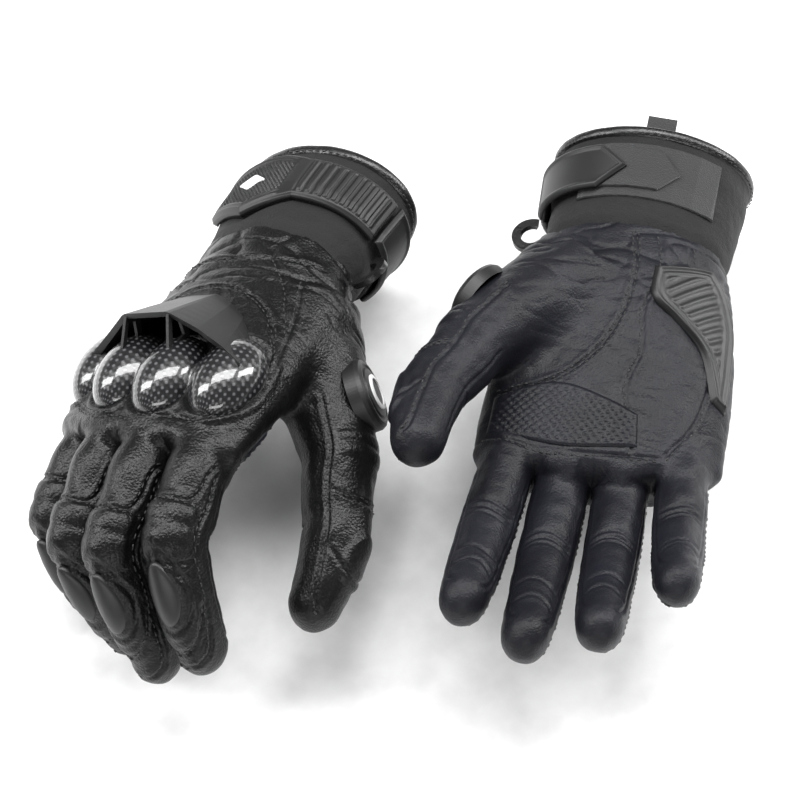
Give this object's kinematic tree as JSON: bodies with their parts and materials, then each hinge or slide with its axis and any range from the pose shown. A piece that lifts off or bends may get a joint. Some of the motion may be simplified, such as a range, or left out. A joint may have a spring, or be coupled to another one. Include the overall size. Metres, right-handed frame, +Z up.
{
  "type": "riding gloves",
  "caption": "Leather short-cuff sport riding gloves with a hard knuckle guard, sliders and a wrist strap, one lying back up and one palm up.",
  "frame": {"origin": "on the floor, under the centre of the two gloves' bounding box", "axes": "+X from the back-up glove to the palm-up glove, +Y from the fingertips to the cuffs, +Z up"},
  "size_m": [0.2834, 0.2428, 0.0969],
  "materials": {
    "leather": "satin grain",
    "foam_fabric": "matt knitted face on foam",
    "binding_leather": "smooth, glossy",
    "strap_rubber": "matt moulded",
    "carbon_shell": "woven look under clear lacquer",
    "moulded_plastic": "matt moulded",
    "hook_and_loop": "matt pile",
    "tag_fabric": "woven label"
  },
  "bodies": {
    "back_up_hand": {"back_up_back_panel": "leather", "back_up_palm_panel": "leather", "back_up_thumb_root_panel": "leather", "back_up_knuckle_guard": "carbon_shell", "back_up_guard_cowl": "moulded_plastic", "back_up_thumb_slider": "moulded_plastic", "back_up_palm_slider": "moulded_plastic", "back_up_grip_patch": "leather", "back_up_cuff": "foam_fabric", "back_up_cuff_binding": "binding_leather", "back_up_wrist_strap": "strap_rubber", "back_up_loop_patch": "hook_and_loop", "back_up_pull_loop": "binding_leather", "back_up_size_tag": "tag_fabric"},
    "back_up_index_base": {"back_up_index_base": "leather"},
    "back_up_index_tip": {"back_up_index_tip": "leather", "back_up_index_pad": "moulded_plastic"},
    "back_up_middle_base": {"back_up_middle_base": "leather"},
    "back_up_middle_tip": {"back_up_middle_tip": "leather", "back_up_middle_pad": "moulded_plastic"},
    "back_up_ring_base": {"back_up_ring_base": "leather"},
    "back_up_ring_tip": {"back_up_ring_tip": "leather", "back_up_ring_pad": "moulded_plastic"},
    "back_up_little_base": {"back_up_little_base": "leather"},
    "back_up_little_tip": {"back_up_little_tip": "leather", "back_up_little_pad": "moulded_plastic"},
    "back_up_thumb_base": {"back_up_thumb_base": "leather"},
    "back_up_thumb_tip": {"back_up_thumb_tip": "leather"},
    "back_up_strap_tab": {"back_up_strap_tab": "strap_rubber", "back_up_hook_patch": "hook_and_loop"},
    "palm_up_hand": {"palm_up_back_panel": "leather", "palm_up_palm_panel": "leather", "palm_up_thumb_root_panel": "leather", "palm_up_knuckle_guard": "carbon_shell", "palm_up_guard_cowl": "moulded_plastic", "palm_up_thumb_slider": "moulded_plastic", "palm_up_palm_slider": "moulded_plastic", "palm_up_grip_patch": "leather", "palm_up_cuff": "foam_fabric", "palm_up_cuff_binding": "binding_leather", "palm_up_wrist_strap": "strap_rubber", "palm_up_loop_patch": "hook_and_loop", "palm_up_pull_loop": "binding_leather", "palm_up_size_tag": "tag_fabric"},
    "palm_up_index_base": {"palm_up_index_base": "leather"},
    "palm_up_index_tip": {"palm_up_index_tip": "leather", "palm_up_index_pad": "moulded_plastic"},
    "palm_up_middle_base": {"palm_up_middle_base": "leather"},
    "palm_up_middle_tip": {"palm_up_middle_tip": "leather", "palm_up_middle_pad": "moulded_plastic"},
    "palm_up_ring_base": {"palm_up_ring_base": "leather"},
    "palm_up_ring_tip": {"palm_up_ring_tip": "leather", "palm_up_ring_pad": "moulded_plastic"},
    "palm_up_little_base": {"palm_up_little_base": "leather"},
    "palm_up_little_tip": {"palm_up_little_tip": "leather", "palm_up_little_pad": "moulded_plastic"},
    "palm_up_thumb_base": {"palm_up_thumb_base": "leather"},
    "palm_up_thumb_tip": {"palm_up_thumb_tip": "leather"},
    "palm_up_strap_tab": {"palm_up_strap_tab": "strap_rubber", "palm_up_hook_patch": "hook_and_loop"}
  },
  "joints": [
    {"name": "back_up_index_root", "type": "hinge", "parent": "back_up_hand", "child": "back_up_index_base", "pos_m": [-0.07533, -0.05462, 0.07714], "axis": [0.8476, -0.2534, 0.4663], "range_deg": [-16, 24.6], "stiffness_Nm_per_rad": 0.06},
    {"name": "back_up_index_middle", "type": "hinge", "parent": "back_up_index_base", "child": "back_up_index_tip", "pos_m": [-0.08241, -0.08064, 0.07589], "axis": [0.8476, -0.2534, 0.4663], "range_deg": [-44, 19.2], "stiffness_Nm_per_rad": 0.03},
    {"name": "back_up_middle_root", "type": "hinge", "parent": "back_up_hand", "child": "back_up_middle_base", "pos_m": [-0.09605, -0.05041, 0.0694], "axis": [0.816, -0.2772, 0.5073], "range_deg": [-21, 23.4], "stiffness_Nm_per_rad": 0.06},
    {"name": "back_up_middle_middle", "type": "hinge", "parent": "back_up_middle_base", "child": "back_up_middle_tip", "pos_m": [-0.10411, -0.07917, 0.06664], "axis": [0.816, -0.2772, 0.5073], "range_deg": [-49, 16.2], "stiffness_Nm_per_rad": 0.03},
    {"name": "back_up_ring_root", "type": "hinge", "parent": "back_up_hand", "child": "back_up_ring_base", "pos_m": [-0.11232, -0.04166, 0.05672], "axis": [0.7828, -0.3012, 0.5445], "range_deg": [-24, 21.6], "stiffness_Nm_per_rad": 0.06},
    {"name": "back_up_ring_middle", "type": "hinge", "parent": "back_up_ring_base", "child": "back_up_ring_tip", "pos_m": [-0.11966, -0.06835, 0.05251], "axis": [0.7828, -0.3012, 0.5445], "range_deg": [-53, 13.8], "stiffness_Nm_per_rad": 0.03},
    {"name": "back_up_little_root", "type": "hinge", "parent": "back_up_hand", "child": "back_up_little_base", "pos_m": [-0.12347, -0.02976, 0.03949], "axis": [0.7361, -0.3367, 0.5872], "range_deg": [-22, 22.8], "stiffness_Nm_per_rad": 0.06},
    {"name": "back_up_little_middle", "type": "hinge", "parent": "back_up_little_base", "child": "back_up_little_tip", "pos_m": [-0.13072, -0.05134, 0.03619], "axis": [0.7361, -0.3367, 0.5872], "range_deg": [-50, 15.6], "stiffness_Nm_per_rad": 0.03},
    {"name": "back_up_thumb_root", "type": "hinge", "parent": "back_up_hand", "child": "back_up_thumb_base", "pos_m": [-0.03197, -0.0305, 0.04841], "axis": [0.3383, 0.0974, -0.936], "range_deg": [-14, 30], "stiffness_Nm_per_rad": 0.06},
    {"name": "back_up_thumb_middle", "type": "hinge", "parent": "back_up_thumb_base", "child": "back_up_thumb_tip", "pos_m": [-0.03205, -0.06232, 0.04507], "axis": [0.3383, 0.0974, -0.936], "range_deg": [-10, 56], "stiffness_Nm_per_rad": 0.03},
    {"name": "back_up_strap_hinge", "type": "hinge", "parent": "back_up_hand", "child": "back_up_strap_tab", "pos_m": [-0.00678, 0.06023, 0.0557], "axis": [-0.4974, -0.8489, 0.179], "range_deg": [0, 78]},
    {"name": "palm_up_lift", "type": "slide", "parent": "back_up_hand", "child": "palm_up_hand", "axis": [0, 0, 1], "range_m": [0, 0.12]},
    {"name": "palm_up_index_root", "type": "hinge", "parent": "palm_up_hand", "child": "palm_up_index_base", "pos_m": [0.03376, -0.03511, 0.04485], "axis": [-0.9592, 0.281, 0.0304], "range_deg": [-4, 42.4], "stiffness_Nm_per_rad": 0.06},
    {"name": "palm_up_index_middle", "type": "hinge", "parent": "palm_up_index_base", "child": "palm_up_index_tip", "pos_m": [0.02637, -0.06076, 0.04891], "axis": [-0.9592, 0.281, 0.0304], "range_deg": [-9, 53.6], "stiffness_Nm_per_rad": 0.03},
    {"name": "palm_up_middle_root", "type": "hinge", "parent": "palm_up_hand", "child": "palm_up_middle_base", "pos_m": [0.05427, -0.04395, 0.04191], "axis": [-0.9712, 0.238, -0.0049], "range_deg": [-8, 41.6], "stiffness_Nm_per_rad": 0.06},
    {"name": "palm_up_middle_middle", "type": "hinge", "parent": "palm_up_middle_base", "child": "palm_up_middle_tip", "pos_m": [0.0472, -0.07266, 0.04697], "axis": [-0.9712, 0.238, -0.0049], "range_deg": [-11, 52], "stiffness_Nm_per_rad": 0.03},
    {"name": "palm_up_ring_root", "type": "hinge", "parent": "palm_up_hand", "child": "palm_up_ring_base", "pos_m": [0.07657, -0.0459, 0.04277], "axis": [-0.9802, 0.1943, -0.0376], "range_deg": [-9, 40.8], "stiffness_Nm_per_rad": 0.06},
    {"name": "palm_up_ring_middle", "type": "hinge", "parent": "palm_up_ring_base", "child": "palm_up_ring_tip", "pos_m": [0.07103, -0.07285, 0.04799], "axis": [-0.9802, 0.1943, -0.0376], "range_deg": [-13, 50.4], "stiffness_Nm_per_rad": 0.03},
    {"name": "palm_up_little_root", "type": "hinge", "parent": "palm_up_hand", "child": "palm_up_little_base", "pos_m": [0.09935, -0.04169, 0.04792], "axis": [-0.9883, 0.1326, -0.0749], "range_deg": [-10, 40], "stiffness_Nm_per_rad": 0.06},
    {"name": "palm_up_little_middle", "type": "hinge", "parent": "palm_up_little_base", "child": "palm_up_little_tip", "pos_m": [0.096, -0.06396, 0.05262], "axis": [-0.9883, 0.1326, -0.0749], "range_deg": [-14, 49.6], "stiffness_Nm_per_rad": 0.03},
    {"name": "palm_up_thumb_root", "type": "hinge", "parent": "palm_up_hand", "child": "palm_up_thumb_base", "pos_m": [0.02659, 0.01025, 0.06033], "axis": [0.1242, 0.2352, 0.964], "range_deg": [-6, 32], "stiffness_Nm_per_rad": 0.06},
    {"name": "palm_up_thumb_middle", "type": "hinge", "parent": "palm_up_thumb_base", "child": "palm_up_thumb_tip", "pos_m": [0.00969, -0.01557, 0.0688], "axis": [0.1242, 0.2352, 0.964], "range_deg": [-6, 54], "stiffness_Nm_per_rad": 0.03},
    {"name": "palm_up_strap_hinge", "type": "hinge", "parent": "palm_up_hand", "child": "palm_up_strap_tab", "pos_m": [0.05301, 0.09884, 0.03876], "axis": [-0.1598, -0.9866, 0.0313], "range_deg": [0, 110]}
  ]
}
